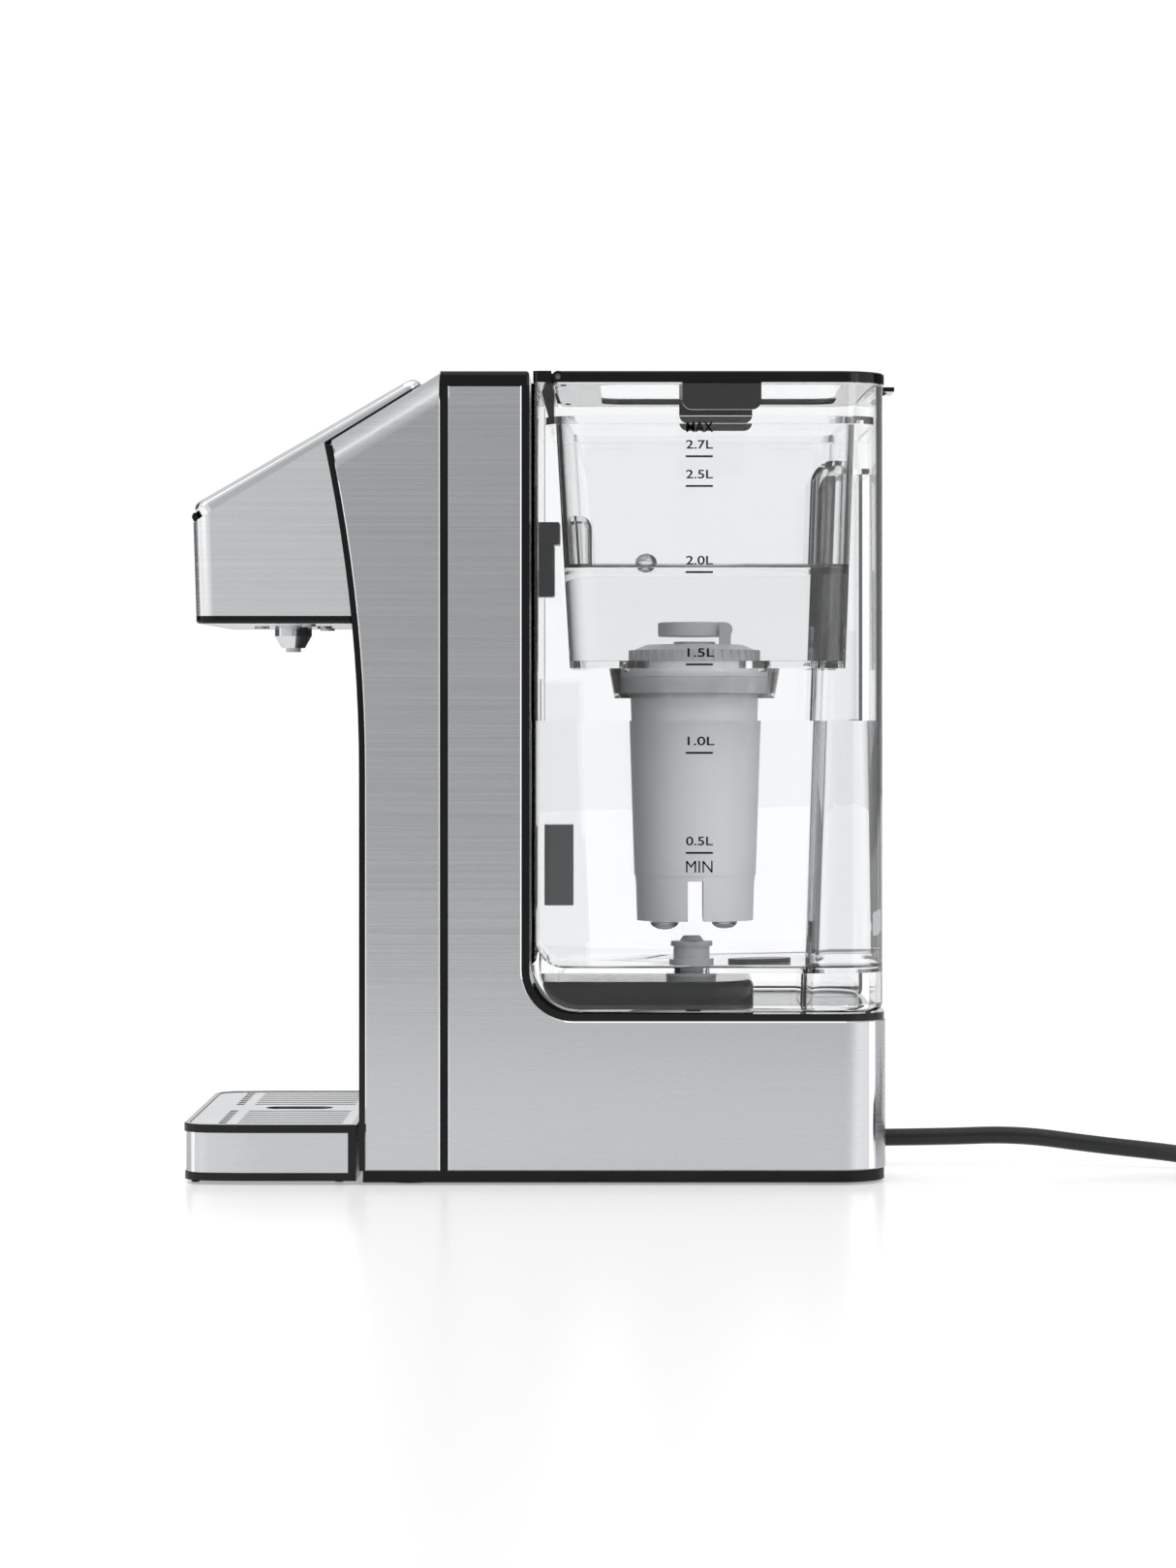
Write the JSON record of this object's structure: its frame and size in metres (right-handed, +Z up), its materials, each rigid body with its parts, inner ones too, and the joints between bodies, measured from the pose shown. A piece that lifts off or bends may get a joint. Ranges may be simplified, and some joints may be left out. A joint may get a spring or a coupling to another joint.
{
  "type": "countertop water dispenser",
  "caption": "Countertop instant hot water dispenser with a steel body, sloping touch panel, spout over a drip tray, and a clear lift-off tank with a filter reservoir, lid and mains lead.",
  "frame": {"origin": "on the worktop, at the centre of the footprint without the mains lead", "axes": "+Z up, -Y towards the spout and drip tray, +Y towards the tank, X across the width"},
  "size_m": [0.15, 0.5082, 0.315],
  "materials": {
    "steel": "brushed stainless steel, fine level grain",
    "head_steel": "brushed stainless steel, fine level grain",
    "grille_steel": "brushed stainless steel sheet",
    "black_plastic": "fine-textured black moulding",
    "gloss_black": "polished black moulding",
    "grey_plastic": "satin grey moulding",
    "dark_grey_plastic": "satin dark grey moulding",
    "clear_plastic": "polished clear plastic",
    "nozzle_metal": "polished bright metal",
    "grey_silicone": "translucent grey silicone",
    "panel_chrome": "bright plated frame",
    "panel_glass": "smooth dark glass",
    "white_plastic": "satin white moulding",
    "filter_media": "dark granulate",
    "rubber": "soft black rubber",
    "silicone": "translucent silicone",
    "screw_steel": "zinc-plated steel",
    "heater_metal": "cast aluminium",
    "pump_metal": "metal can with a plastic head",
    "circuit_board": "green laminate",
    "cord_rubber": "satin black cord and moulded plug",
    "pin_metal": "nickel-plated brass"
  },
  "bodies": {
    "base": {"base_plate": "black_plastic", "rubber_feet": "rubber", "case_screws": "screw_steel", "side_panel": "steel", "cradle": "gloss_black", "sensor_windows": "dark_grey_plastic", "column_frame": "black_plastic", "column_cap": "gloss_black", "front_cover": "steel", "front_fascia": "gloss_black", "head_shell": "head_steel", "head_trim": "gloss_black", "head_underside": "grey_plastic", "nozzle": "nozzle_metal", "nozzle_tip": "silicone", "panel_gasket": "gloss_black", "panel_bezel": "panel_chrome", "panel_glass": "panel_glass", "dock_block": "gloss_black", "dock_pin": "dark_grey_plastic", "dock_seal": "rubber", "pump": "pump_metal", "pump_bracket": "screw_steel", "heater": "heater_metal", "heater_clamps": "screw_steel", "inlet_hose": "silicone", "heater_hose": "silicone", "outlet_hose": "silicone", "separator": "white_plastic", "control_board": "circuit_board", "power_board": "circuit_board", "strain_relief": "rubber", "cord_lead": "cord_rubber", "cord_coil": "cord_rubber", "cord_tail": "cord_rubber", "plug_body": "cord_rubber", "plug_pins": "pin_metal"},
    "tray": {"tray_base": "gloss_black", "tray_band": "steel", "tray_frame": "gloss_black", "tray_feet": "black_plastic"},
    "grille": {"tray_grille": "grille_steel"},
    "tank_set": {"tank": "clear_plastic", "tank_valve": "grey_plastic", "floor_disc": "dark_grey_plastic", "float_guide": "clear_plastic", "presence_magnet": "dark_grey_plastic", "valve_spring": "screw_steel"},
    "valve_stem": {"valve_stem": "grey_plastic"},
    "level_float": {"level_float": "dark_grey_plastic"},
    "reservoir_set": {"reservoir": "clear_plastic", "filter_seal": "grey_silicone", "hinge_bar": "gloss_black", "lid_pins": "screw_steel"},
    "lid": {"lid_frame": "gloss_black", "lid_window": "clear_plastic"},
    "filter": {"filter_housing": "white_plastic", "filter_media": "filter_media", "filter_cap": "grey_plastic"},
    "filter_ring": {"filter_ring": "grey_plastic"}
  },
  "joints": [
    {"name": "tray_pull", "type": "slide", "parent": "base", "child": "tray", "axis": [0, -1, 0], "range_m": [0, 0.07]},
    {"name": "grille_lift", "type": "slide", "parent": "tray", "child": "grille", "axis": [0, 0, 1], "range_m": [0, 0.04]},
    {"name": "tank_lift", "type": "slide", "parent": "base", "child": "tank_set", "axis": [0, 0, 1], "range_m": [0, 0.12]},
    {"name": "valve_stem_push", "type": "slide", "parent": "tank_set", "child": "valve_stem", "axis": [0, 0, 1], "range_m": [0, 0.003], "stiffness_N_per_m": 60, "springref_m": -0.002, "deforming": ["valve_spring"]},
    {"name": "float_rise", "type": "slide", "parent": "tank_set", "child": "level_float", "axis": [0, 0, 1], "range_m": [-0.015, 0]},
    {"name": "reservoir_lift", "type": "slide", "parent": "tank_set", "child": "reservoir_set", "axis": [0, 0, 1], "range_m": [0, 0.12]},
    {"name": "lid_hinge", "type": "hinge", "parent": "reservoir_set", "child": "lid", "pos_m": [0, 0.006, 0.3128], "axis": [1, 0, 0], "range_deg": [0, 95]},
    {"name": "filter_lift", "type": "slide", "parent": "reservoir_set", "child": "filter", "axis": [0, 0, 1], "range_m": [0, 0.085]},
    {"name": "filter_ring_fold", "type": "hinge", "parent": "filter", "child": "filter_ring", "pos_m": [0, 0.0715, 0.2164], "axis": [-1, 0, 0], "range_deg": [0, 85]}
  ]
}
